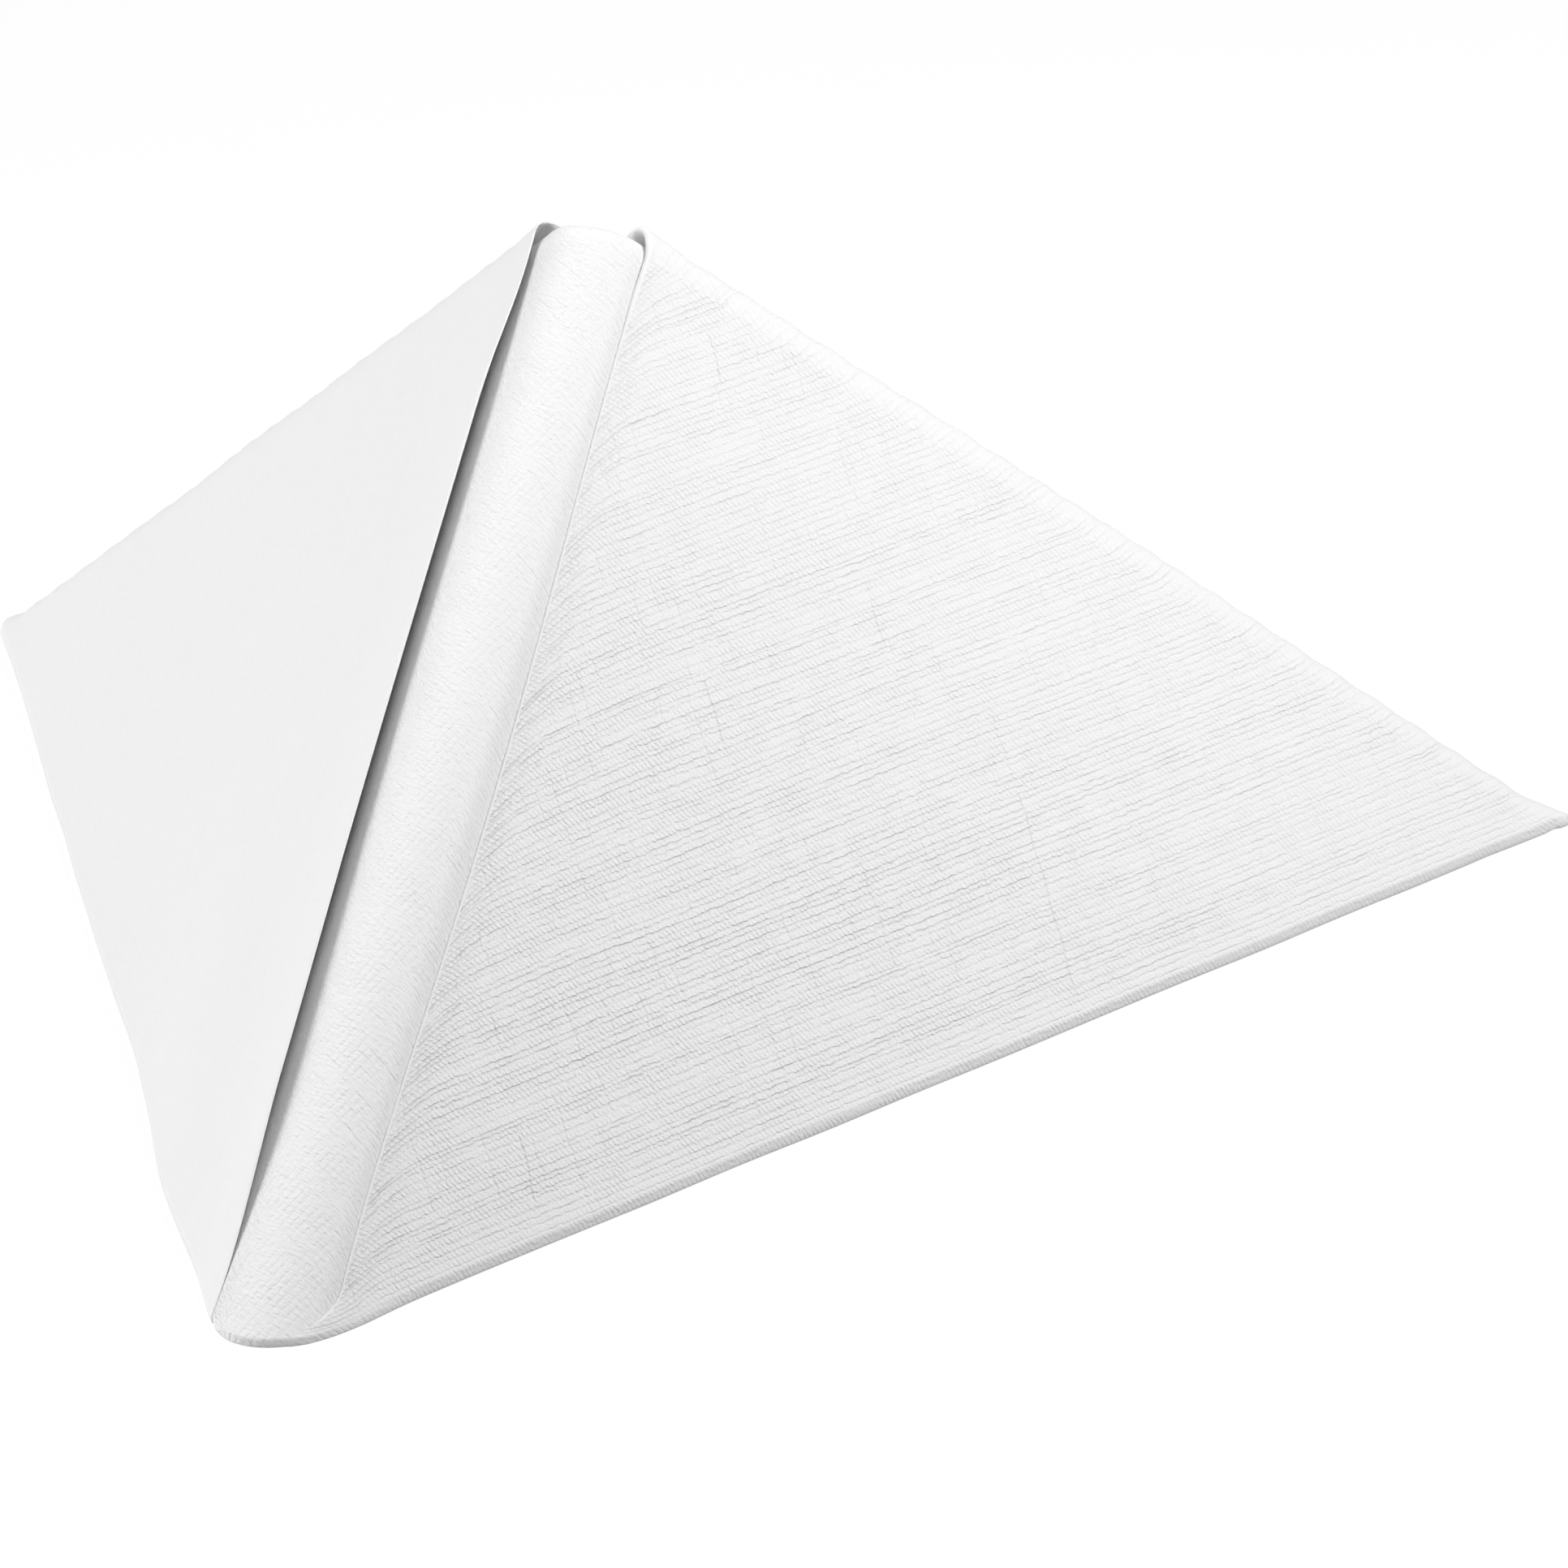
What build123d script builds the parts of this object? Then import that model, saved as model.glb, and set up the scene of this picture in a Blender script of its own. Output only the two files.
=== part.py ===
"""A paper napkin in the pyramid fold: one square sheet, folded and stood up as a tent.

The tent is a rounded chevron wall, seen square to its ridge. Its inner layers round the ridge and
show there as a band. A flap lies on each face, folds over the back edge and runs on inside the
tent. The flaps stop short of the ridge, flare open at the apex and close on the band at the toe.
"""

import os
from math import acos, cos, radians, sin, sqrt, tan

from build123d import *

# The sheet, and how far the tent is opened
sheet_side = 400.0  # the square sheet before it is folded
spread_angle = 80.7  # degrees between the two faces, measured across the ridge

# The folded stack
wall_thickness = 4.0  # all eight layers, with the air between them
flap_thickness = 0.8  # each flap is two layers
ridge_radius = 7.5  # outside of the rounded layers that show between the flaps
base_roll = 1.0  # radius of the closed fold along each base edge

# The free edges of the flaps, measured from the ridge line along each face
left_flap_edge = 10.5
right_flap_edge = 9.6
left_flap_lift = 1.1  # how far the left edge stands off its face along the ridge
right_flap_lift = 0.15
inner_flap_lift = 0.15  # the same for both edges inside the tent
flap_bend = 15.0  # width over which an edge bends away from its face
flare_lift = 1.5  # how far the edges stand off at the apex
flare_length = 26.0  # how far down the ridge the flare fades
toe_lift = 0.1  # what is left of the lift at the toe
toe_length = 32.0  # how far above the toe the edges start to close

# The ridge and both back edges are equally long, and square to each other on each face
leg = sheet_side / (2 * sqrt(2))
half = radians(spread_angle) / 2
ridge_run = 1 / sqrt(2 - sin(half) ** 2)
ridge_drop = sqrt(1 - ridge_run**2)
face_tilt = acos(sin(half) * ridge_run)

# The tent stands with the middle of its box over the origin
nose_depth = flap_thickness / sin(half) + ridge_radius * (1 / sin(half) - 1)
back_reach = leg * ridge_drop**2 / ridge_run
front_reach = leg * ridge_run - nose_depth / ridge_drop
apex = Vector(0, (front_reach - back_reach) / 2, leg * ridge_drop)
ridge = Vector(0, -ridge_run, -ridge_drop)
toe = apex + ridge * leg

# Sections lie square to the ridge, with y out of its nose, and start at the back edges' fold axis
section = Plane(origin=apex, x_dir=(1, 0, 0), z_dir=ridge)
fold_plane = section.offset(wall_thickness / 2)
far_end = leg + wall_thickness  # past the table, which trims it

core_thickness = wall_thickness - 2 * flap_thickness
flaps = [(-1, left_flap_edge, left_flap_lift), (1, right_flap_edge, right_flap_lift)]


def on_face(side, along, height):
    """Section point on one face: along it from the ridge line, and out from it by height."""
    return (side * (along * sin(half) + height * cos(half)), height * sin(half) - along * cos(half))


def chevron(depth):
    """Three section points of the chevron that lies this deep inside both faces."""
    nose = (0, -depth / sin(half))
    return [on_face(-1, far_end, -depth), nose, on_face(1, far_end, -depth)]


def slab(side, root, depth):
    """Outline of one leg of the wall from the flap's root outwards, down to a depth."""
    corners = [(root, 0), (far_end, 0), (far_end, -depth), (root, -depth)]
    Polyline(*[on_face(side, along, height) for along, height in corners], close=True)


def bent_edge(side, edge, lift, inside):
    """Outline of a flap's free edge: it bends off its face by lift and ends in a rounded fold."""
    root = edge + flap_bend

    def point(along, off):
        return on_face(side, along, -wall_thickness - off if inside else off)

    outer_edge = point(edge, lift)
    under_edge = point(edge, lift - flap_thickness)
    outer_root = point(root, 0)
    under_root = point(root, -flap_thickness)
    Bezier(outer_root, point(edge + flap_bend / 2, 0), outer_edge)
    ThreePointArc(outer_edge, point(edge - flap_thickness / 2, lift - flap_thickness / 2), under_edge)
    Polyline(under_edge, under_root, outer_root)


with BuildPart() as napkin:
    # Inner layers, rounded at the ridge
    with BuildSketch(fold_plane):
        with BuildLine():
            outer = FilletPolyline(*chevron(flap_thickness), radius=ridge_radius)
            inner_radius = ridge_radius - core_thickness
            inner = FilletPolyline(*chevron(wall_thickness - flap_thickness), radius=inner_radius)
            Line(outer @ 0, inner @ 0)
            Line(outer @ 1, inner @ 1)
        make_face()
    extrude(amount=leg)

    # Their fold over both back edges and round the apex
    with BuildLine(fold_plane) as core_fold:
        FilletPolyline(*chevron(wall_thickness / 2), radius=ridge_radius - core_thickness / 2)
    with BuildSketch(Plane(origin=core_fold.line @ 0, z_dir=core_fold.line % 0)):
        Circle(core_thickness / 2)
    sweep(path=core_fold.line)

    for side, edge, lift in flaps:
        root = edge + flap_bend
        axis_start = fold_plane.from_local_coords(on_face(side, 0, -wall_thickness / 2))
        axis_end = fold_plane.from_local_coords(on_face(side, leg, -wall_thickness / 2))
        fold_axis = Axis(axis_start, axis_end - axis_start)
        over_the_top = -180 * side

        # The flat of the flap, outside and inside, and its fold over the back edge
        with BuildSketch(fold_plane):
            with BuildLine():
                slab(side, root, wall_thickness)
            make_face()
        extrude(amount=leg)
        with BuildSketch(fold_plane):
            with BuildLine():
                slab(side, root, wall_thickness / 2)
            make_face()
        revolve(axis=fold_axis, revolution_arc=over_the_top)

        # The free edge: the flare over the fold, then both ways down the ridge to the toe
        with BuildSketch(fold_plane):
            with BuildLine():
                bent_edge(side, edge, flare_lift, inside=False)
            make_face()
        revolve(axis=fold_axis, revolution_arc=over_the_top)
        edge_end = leg - edge
        for inside, settled_lift in ((False, lift), (True, inner_flap_lift)):
            stations = [
                (0, flare_lift),
                (flare_length, settled_lift),
                (edge_end - toe_length, settled_lift),
                (edge_end, toe_lift),
            ]
            for span in zip(stations, stations[1:]):
                for distance, station_lift in span:
                    with BuildSketch(fold_plane.offset(distance)):
                        with BuildLine():
                            bent_edge(side, edge, station_lift, inside)
                        make_face()
                loft()

    # The table trims the wall level
    split(bisect_by=Plane.XY, keep=Keep.TOP)

    # The closed fold along each base edge rolls under
    roll_reach = base_roll / tan(face_tilt / 2)
    roll_clearance = left_flap_lift + wall_thickness
    for side, edge, lift in flaps:
        back_corner = section.from_local_coords(on_face(side, leg, 0))
        base_run = (back_corner - toe).normalized()
        outward = Vector(side * base_run.Y, -side * base_run.X, 0)
        across_base = Plane(origin=toe, x_dir=outward, z_dir=outward.cross(Vector(0, 0, 1)))
        on_floor = (-roll_reach, 0)
        on_slope = (-roll_reach * cos(face_tilt), roll_reach * sin(face_tilt))
        turn = (base_roll * cos(face_tilt / 2) - roll_reach, base_roll - base_roll * sin(face_tilt / 2))
        above = (roll_clearance, on_slope[1] + roll_clearance)
        below = (roll_clearance, -roll_clearance)
        under = (-roll_reach, -roll_clearance)
        with BuildSketch(across_base):
            with BuildLine():
                ThreePointArc(on_floor, turn, on_slope)
                Polyline(on_slope, above, below, under, on_floor)
            make_face()
        extrude(amount=2 * leg, both=True, mode=Mode.SUBTRACT)

napkin.part.label = "napkin"
os.makedirs("parts", exist_ok=True)
export_step(napkin.part, "parts/napkin.step")
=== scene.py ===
"""Looks and stage for a paper napkin that stands in the pyramid fold.

The folded wall has its own coordinates. q runs along its middle layer, from the ridge to either
side. off is the distance from that layer, run the distance down the ridge from the fold at the
top, and turn the angle over that fold: 0 outside the tent and pi inside it. On a flap, x is the
distance from its free edge. Lengths are in metres, and places on the sheet in millimetres.
"""

from math import comb

import bmesh
import bpy
import numpy as np
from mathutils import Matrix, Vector


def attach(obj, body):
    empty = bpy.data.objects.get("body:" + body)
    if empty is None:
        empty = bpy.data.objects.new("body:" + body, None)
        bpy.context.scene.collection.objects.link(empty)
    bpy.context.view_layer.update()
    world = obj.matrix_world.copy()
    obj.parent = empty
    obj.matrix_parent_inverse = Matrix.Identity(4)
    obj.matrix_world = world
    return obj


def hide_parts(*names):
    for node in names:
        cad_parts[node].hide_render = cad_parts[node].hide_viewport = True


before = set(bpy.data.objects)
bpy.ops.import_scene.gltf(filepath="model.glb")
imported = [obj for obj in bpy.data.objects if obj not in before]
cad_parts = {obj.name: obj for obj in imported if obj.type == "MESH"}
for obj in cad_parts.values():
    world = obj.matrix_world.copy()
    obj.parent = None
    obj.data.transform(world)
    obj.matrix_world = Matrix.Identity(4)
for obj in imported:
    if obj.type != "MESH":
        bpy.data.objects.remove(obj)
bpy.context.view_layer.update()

bl_info = {
    "name": "Pyramid Fold Napkin",
    "version": (1, 0, 0),
    "blender": (4, 5, 0),
    "location": "View3D > Sidebar > Napkin",
    "description": "Folds a sheet of embossed paper into a standing pyramid and sets its stage",
    "category": "Add Mesh",
}

SEED = 7
MILLIMETRES = 1000
SIDES = {"right": 1, "left": -1}

# How finely the paper is divided, and how its rows crowd to the base and its columns to the free edge
FACE_ROWS = 170
ROLL_ROWS = 8
FACE_COLUMNS = 74
FOLD_COLUMNS = 13
BAND_COLUMNS = 34
ROW_CROWDING = 1.25
COLUMN_CROWDING = 1.55
PROBE_STEP = 0.01
WELD_DISTANCE = 1e-6
SLIVER_LENGTH = 1e-7

# Shares of the way down to the base fold, angles over the back fold, and shares round the base fold
LEVEL_ROWS = 1 - (1 - np.linspace(0, 1, FACE_ROWS + 1)) ** ROW_CROWDING
FOLD_TURNS = np.linspace(0, np.pi, FOLD_COLUMNS + 1)[1:-1]
ROLL_STEPS = np.linspace(0, 1, ROLL_ROWS + 1)[1:]

# Sections of the free edges, in half lips: along the face from the edge, and out from the flap's top
ROUND_RIM = [(-np.cos(a), np.sin(a) - 1) for a in np.radians((60, 20, -20, -60))]
UPRIGHT_RIM = [(-np.cos(a), np.sin(a) - 1) for a in np.radians((50, 10))] + [(-1.0, -1.4), (-1.0, -2.0)]
RIMS = {"right": UPRIGHT_RIM, "left": ROUND_RIM}

# How the free edges bow towards the ridge, as six control values from the apex to the toe
BOWS = {
    "right": (-0.0003, 0.0003, -0.00155, -0.00292, 0.00163, -0.00114),
    "left": (-0.0003, 0.00102, -0.00032, 0.00082, 0.00324, 0.00022),
}

# Columns of the slit under a flap, as shares of its depth, and the least gap that is left in it
SLIT_STEPS = np.array([0.06, 0.15, 0.27, 0.4, 0.55, 0.7, 0.83, 0.93, 0.985, 1.0])
LEAST_GAP = 0.00001

# How much deeper the slit is at the apex, and the share of the way down where that ends
APEX_SLIT = 0.006
APEX_SLIT_END = 0.12

# The back folds' rise: its share on the left, its gain by the ridge there, and its fall to the corners
LEFT_RISE = 1.3
LEFT_CREST = 0.35
LEFT_CREST_REACH = 0.05
CORNER_FALL = 0.65
CORNER_START = 0.06
CORNER_REACH = 0.08

# The base fold: shares of its height and rows that are bevel, and its length round for each unit high
BEVEL_SHARE = 0.78
BEVEL_ROWS = 0.5
ROLL_LENGTH = 1.15

# The base fold's share of its height at a free edge, and where it has all of it
EDGE_ROLL = 0.6
EDGE_ROLL_REACH = 0.009

# The free edges at the apex: the turn from which they are inside, and the flare's peak, rest and reach
INSIDE_TURN = 1.0
FLARE_PEAK = 2.5
FLARE_IN = 0.9
FLARE_REACH_OUT = 0.014
FLARE_REACH_IN = 0.028

# How far the curl reaches down the ridge, and every sideways move of an edge into its face
SWEEP_REACH = 0.02

# Along the ridge: how far from the apex the lift and the tuck come in, and how wide the tuck is
LIFT_REACH = 0.02
TUCK_REACH_OUT = 0.01
TUCK_REACH_IN = 0.006
TUCK_WIDTH = 0.004

# At the toe: where the edges start to close, over what length, and the share of the lift that goes
TOE_START = 0.031
TOE_LENGTH = 0.028
TOE_SHUT = 0.8

# At the toe: the lengths over which the right edge turns round it and sinks, and how wide it sinks
TOE_TURN = 0.0044
SINK_LENGTH = 0.002
SINK_WIDTH = 0.007

# The faces' faint waves: height, wavelength, and where they come in
WAVE_HEIGHT = 0.00007
WAVE_LENGTH = 0.022
WAVE_START = 0.004
WAVE_REACH = 0.012

# The back folds' crimp: height, wavelength, how that sways, how far down it fades, and where it comes in
CRIMP_HEIGHT = 0.0001
CRIMP_LENGTH = 0.0055
CRIMP_SWAY = 1.5
CRIMP_SWAY_LENGTH = 0.011
CRIMP_FADE = 0.005
CRIMP_REACH = 0.006

# The base edges: sizes of the corner nubs, heights and places of the bulges, and height of the skirt
NUB_WIDTH = 0.004
NUB_HEIGHT = 0.004
BULGE_HEIGHT = 0.03
BULGE_REACH = 0.01
BELLY_PLACE = 0.022
BELLY_WIDTH = 0.013
SPREAD_START = 0.035
SPREAD_REACH = 0.04
SKIRT_HEIGHT = 0.005

# How the embossed lines turn along a free edge
LINE_TURN = 0.0016
LINE_TURN_WIDTH = 0.0042

# The ridge layers: where the toe's belly lies down and across the ridge, and how far the crown reaches
TOE_BELLY_START = 0.1
TOE_BELLY_REACH = 0.03
TOE_BELLY_PLACE = -0.0045
TOE_BELLY_WIDTH = 0.004
CROWN_REACH = 0.012

# The ridge layers: how much the sheet slants across them, and the cubic that turns it on the left
RIDGE_SLANT = 0.76
LEFT_RIDGE_SLANT = 2600

# Fades, as where they start and end, and their values there: the relief is flatter near the middle of
# the back fold and near the table; the ridge has painted shade by its right edge and is rougher by its
# left
FOLD_MIDDLE = 3.1
FOLD_FADE = (0.5, 3.5, 0.6, 1.0)
TABLE_FADE = (0.0005, 0.005, 0.5, 1.0)
RIGHT_EDGE_PAINTED_SHADE = (4.4, 6.5, 0.0, 0.8)
LEFT_GRAIN_FADE = (-6.5, -1.5, 2.2, 1.0)

# How much of the shade colour the blotches bring, as the paper's own uneven tone, and the relief brings,
# as painted shade down in the embossed grooves; and the paper's shine
BLOTCH_TONE = 0.12
GROOVE_PAINTED_SHADE = 0.5
SPECULAR = 0.2

# Stray threads on the right face: place on the sheet, half the length and lean
STRAY_DEPTH = 0.35
STRAYS = (
    (26.5, 83.6, 14.5, 0.118),
    (18.2, 49.8, 4.7, 0.102),
    (-7.3, 53.2, 4.4, 0.131),
    (-52.5, 89.8, 4.2, 0.165),
    (10.4, 19.0, 3.5, 0.169),
)

# Run down the ridge, as shares of U and V, on the flaps and on the ridge
FACE_DOWN = (-np.sqrt(0.5), np.sqrt(0.5))
RIDGE_DOWN = (np.sqrt(0.5), np.sqrt(0.5))

# The papers, in slot order. Depths are shares of the emboss, and swell fades them down the ridge
RIGHT_PAPER, LEFT_PAPER, RIDGE_PAPER = range(3)
PAPERS = {
    "right flap paper": {
        "depths": {"line": 0.56, "tick": 0.24, "cross": 0.2, "fibre": 0.5},
        "down": FACE_DOWN,
        "swell": (5.0, 60.0, 0.68, 1.0),
        "strays": STRAYS,
        "pressed": True,
    },
    "left flap paper": {
        "depths": {"line": 0.04, "tick": 0.02, "cross": 0.02, "fibre": 0.14},
        "down": FACE_DOWN,
    },
    "ridge paper": {
        "depths": {"line": 0.2, "tick": 0.16, "cross": 0.0, "fibre": 0.5},
        "down": RIDGE_DOWN,
        "swell": (10.0, 110.0, 0.9, 1.1),
        "threads": {"Pitch": 0.7, "Breaks": 3.5, "Whole": 0.3, "Line Width": 0.14, "Waver": 0.8},
        "fibres": {"Stretch": 2.6, "Fineness": 2.5},
        "arched": True,
    },
}

# The floor: half its side, and the grey and the glow that the camera sees on it
FLOOR_HALF = 6.0
FLOOR_SEEN = 0.2
FLOOR_GLOW = 0.86

# The lamps: place, target and size
KEY_LAMP = ((-2.2, -0.9, 0.9), (0.0, 0.0, 0.035), 2.6)
SIDE_LAMP = ((0.28, 0.0, 0.365), (0.03, 0.02, 0.05), 0.2)

# The camera, fitted to the photo, with its focal length in pixels of the whole image
CAMERA_TURN = np.radians(17.945)
CAMERA_RISE = np.radians(23.136)
CAMERA_DISTANCE = 1.499
CAMERA_TARGET = np.array([0.02664, 0.00513, 0.02885])
CAMERA_CLIP = (0.1, 30.0)
SENSOR_WIDTH = 36.0
FOCAL_PIXELS = 17731.4
IMAGE_SIDE = 1932


def length(name, description, default):
    """A size in metres."""
    return bpy.props.FloatProperty(
        name=name, description=description, default=default, unit="LENGTH", precision=5
    )


def angle(name, description, degrees):
    """An angle, from its degrees."""
    return bpy.props.FloatProperty(
        name=name, description=description, default=np.radians(degrees), subtype="ANGLE"
    )


def share(name, description, default):
    """A plain number."""
    return bpy.props.FloatProperty(name=name, description=description, default=default)


def tint(name, description, default):
    """A colour, as linear values."""
    return bpy.props.FloatVectorProperty(
        name=name, description=description, default=default, subtype="COLOR", size=3, min=0, max=1
    )


class NapkinFold(bpy.types.PropertyGroup):
    """Sizes of the folded sheet, to which both flaps' own sizes are added"""

    sheet_side: length("Sheet side", "Side of the square sheet before it is folded", 0.4)
    spread: angle("Spread", "Angle between the two faces", 80.7)
    wall: length("Wall", "Thickness of the folded stack", 0.004)
    flap: length("Flap", "Thickness of the two layers that make a flap", 0.0008)
    ridge_radius: length("Ridge radius", "Outside of the layers that round the ridge", 0.0075)
    fold_rise: length("Fold rise", "How far the back folds are drawn out to an edge", 0.0018)
    crown: length("Crown", "How far the ridge layers rise over the apex", 0.0003)
    toe_belly: length("Toe belly", "How far the ridge layers bulge by the left edge at the toe", 0.0007)
    tip_nub: length("Tip nub", "How far the base fold sticks out at each back corner", 0.002)
    bend: length("Bend", "Width over which an edge bends off its face", 0.015)
    slit: length("Slit", "How deep the gap under a flap runs", 0.0048)
    roll_height: length("Roll height", "Height of the closed fold along the base", 0.0016)
    roll_kink: angle("Roll kink", "Slope at which the base fold starts", 8)


# A flap's own sizes: their kind, what they are, and their values on the right and on the left
FLAP_SIZES = {
    "edge": (length, "Free edge, from the ridge line", 0.0096, 0.0105),
    "lip": (length, "Thickness that shows at the free edge", 0.0006, 0.0002),
    "lift": (length, "How far the edge stands off along the ridge", 0.0, 0.0011),
    "flare": (length, "How far the edge stands up over the apex", 0.0006, 0.0005),
    "flare_width": (length, "Width of the paper that stands up there", 0.009, 0.012),
    "flare_out": (share, "Share of the flare that is left outside", 0.0, 0.2),
    "curl": (length, "How far the edge turns to the ridge over the apex", 0.002, 0.0025),
    "draw": (length, "How far the edge draws back on top of the fold", 0.0, 0.0032),
    "tuck": (length, "How far the edge is pressed down on the ridge", 0.0006, 0.00025),
    "closed": (share, "Share of the tuck that runs all along the ridge", 0.75, 0.0),
    "closing": (share, "Share of the tuck that comes in at the toe", 0.0, 1.0),
    "sink": (length, "How much lower the edge ends at the toe", 0.00033, 0.0),
    "wrap": (length, "How far the edge runs round the toe", 0.0052, 0.0),
    "skirt": (length, "How far the face draws in over the base fold", 0.0003, 0.0),
    "belly": (length, "How far the base edge bulges near the toe", 0.0, 0.00135),
    "spread": (length, "How far the base edge stands out at the back", 0.0, 0.00075),
}


def flap_properties():
    """Properties of both flaps' own sizes, named after their sides."""
    made = {}
    for size, (kind, text, *values) in FLAP_SIZES.items():
        for side, value in zip(SIDES, values):
            made[f"{side}_{size}"] = kind(f"{side} {size}".replace("_", " ").capitalize(), text, value)
    return made


NapkinFold.__annotations__.update(flap_properties())


class NapkinPaper(bpy.types.PropertyGroup):
    """Look of the paper"""

    white: tint("Paper white", "Colour of the paper", (0.93, 0.93, 0.93))
    # Shade colour: the blotches mix towards it as the paper's own tone, and the embossed grooves and the
    # ridge's right edge as painted shade
    shade: tint("Thread shade", "Colour down in the embossed lines", (0.8, 0.8, 0.8))
    emboss: length("Emboss depth", "Depth of the embossed lines", 0.00028)
    roughness: share("Roughness", "Roughness of the paper", 0.9)


class NapkinStage(bpy.types.PropertyGroup):
    """Floor and light"""

    floor: tint("Floor", "Colour of the floor", (0.55, 0.55, 0.55))
    fill: share("Fill light", "Strength of the even light from all round", 0.148)
    key: share("Key light", "Power of the lamp at the left, in watts", 68.0)
    side: share("Side light", "Power of the lamp over the right back edge, in watts", 1.5)


class FoldedWall:
    """Turns the folded wall's own coordinates into points of the part's frame."""

    def __init__(self, sizes):
        self.sizes = sizes
        half = sizes.spread / 2
        self.half = half
        self.leg = sizes.sheet_side / (2 * np.sqrt(2))
        self.middle = sizes.wall / 2
        self.band = self.middle - sizes.flap
        self.radius = sizes.ridge_radius - self.band
        self.arc = self.radius * (np.pi / 2 - half)
        self.shift = self.middle / np.tan(half) + self.radius / np.tan(half) - self.arc
        run = 1 / np.sqrt(2 - np.sin(half) ** 2)
        drop = np.sqrt(1 - run**2)
        depth = sizes.flap / np.sin(half) + sizes.ridge_radius * (1 / np.sin(half) - 1)
        reach = self.leg * run - depth / drop - self.leg * drop**2 / run
        self.apex = np.array([0, reach / 2, self.leg * drop])
        self.across = np.array([1, 0, 0])
        self.down = np.array([0, -run, -drop])
        self.nose = np.array([0, -drop, run])
        self.centre = -(self.middle + self.radius) / np.sin(half)

    def section(self, q):
        """The middle layer across the ridge: an arc round the ridge, then straight along each face."""
        turned = np.clip(q, -self.arc, self.arc) / self.radius
        beyond = q - turned * self.radius
        normal = np.stack([np.sin(turned), np.cos(turned)], -1)
        x = self.radius * normal[..., 0] + beyond * normal[..., 1]
        y = self.centre + self.radius * normal[..., 1] - np.abs(beyond) * np.abs(normal[..., 0])
        return x, y, normal

    def rise(self, q, off):
        """How far the fold is drawn out to a narrow edge: more on the left, less at the back corners."""
        away = np.abs(q)
        left_face = LEFT_RISE + LEFT_CREST * soft((away - self.arc) / LEFT_CREST_REACH)
        over_ridge = 1 + (LEFT_RISE + LEFT_CREST - 1) * ease(-q / self.arc)
        higher = np.where(q < -self.arc, left_face, over_ridge)
        to_corner = 1 - CORNER_FALL * ease((away - CORNER_START) / CORNER_REACH)
        return self.sizes.fold_rise * higher * to_corner * np.minimum(off / self.middle, 1)

    def place(self, q, off, run, turn):
        """Point of the frame: the middle layer at q, moved out and down the ridge.

        Out along its normal is off * cos(turn). Down the ridge is run - (off + rise) * sin(turn).
        """
        x, y, normal = self.section(q)
        out = off * np.cos(turn)
        along = self.middle + run - (off + self.rise(q, off)) * np.sin(turn)
        x = x + out * normal[..., 0]
        y = y + out * normal[..., 1]
        flat = self.apex + x[..., None] * self.across + y[..., None] * self.nose
        return flat + along[..., None] * self.down

    def height(self, q, off, run, turn):
        """Height of a point over the table."""
        return self.place(q, off, run, turn)[..., 2]

    def run_to(self, height, q, off, turn):
        """How far down the ridge direction a point lies at that height."""
        return (self.height(q, off, np.zeros_like(q), turn) - height) / -self.down[2]

    def outward(self, q):
        """Level direction that points away from the tent."""
        normal = self.section(q)[2]
        flat = np.stack([normal[..., 0], normal[..., 1] * self.nose[1], np.zeros_like(q)], -1)
        return flat / np.linalg.norm(flat, axis=-1, keepdims=True)


def soft(x):
    """Falls from 1 at 0 to 0 at 1 and beyond, as a parabola that ends level."""
    return np.clip(1 - x, 0, 1) ** 2


def ease(x):
    """Rises smoothly from 0 at 0 to 1 at 1."""
    x = np.clip(x, 0, 1)
    return x * x * (3 - 2 * x)


def bell(x):
    """A hump of height 1 round 0: exp(-x^2)."""
    return np.exp(-(x**2))


def ripple(x, y, wavelength, seed):
    """Sum of six sine waves with seeded directions, phases and lengths, about -1 to 1."""
    dice = np.random.default_rng(seed)
    total = 0
    for turn, phase, size in dice.uniform(0, 1, (6, 3)):
        turn, phase, size = turn * np.pi, phase * 2 * np.pi, wavelength * (0.7 + 0.8 * size)
        total = total + np.sin((x * np.cos(turn) + y * np.sin(turn)) * 2 * np.pi / size + phase)
    return total / 3


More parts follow.
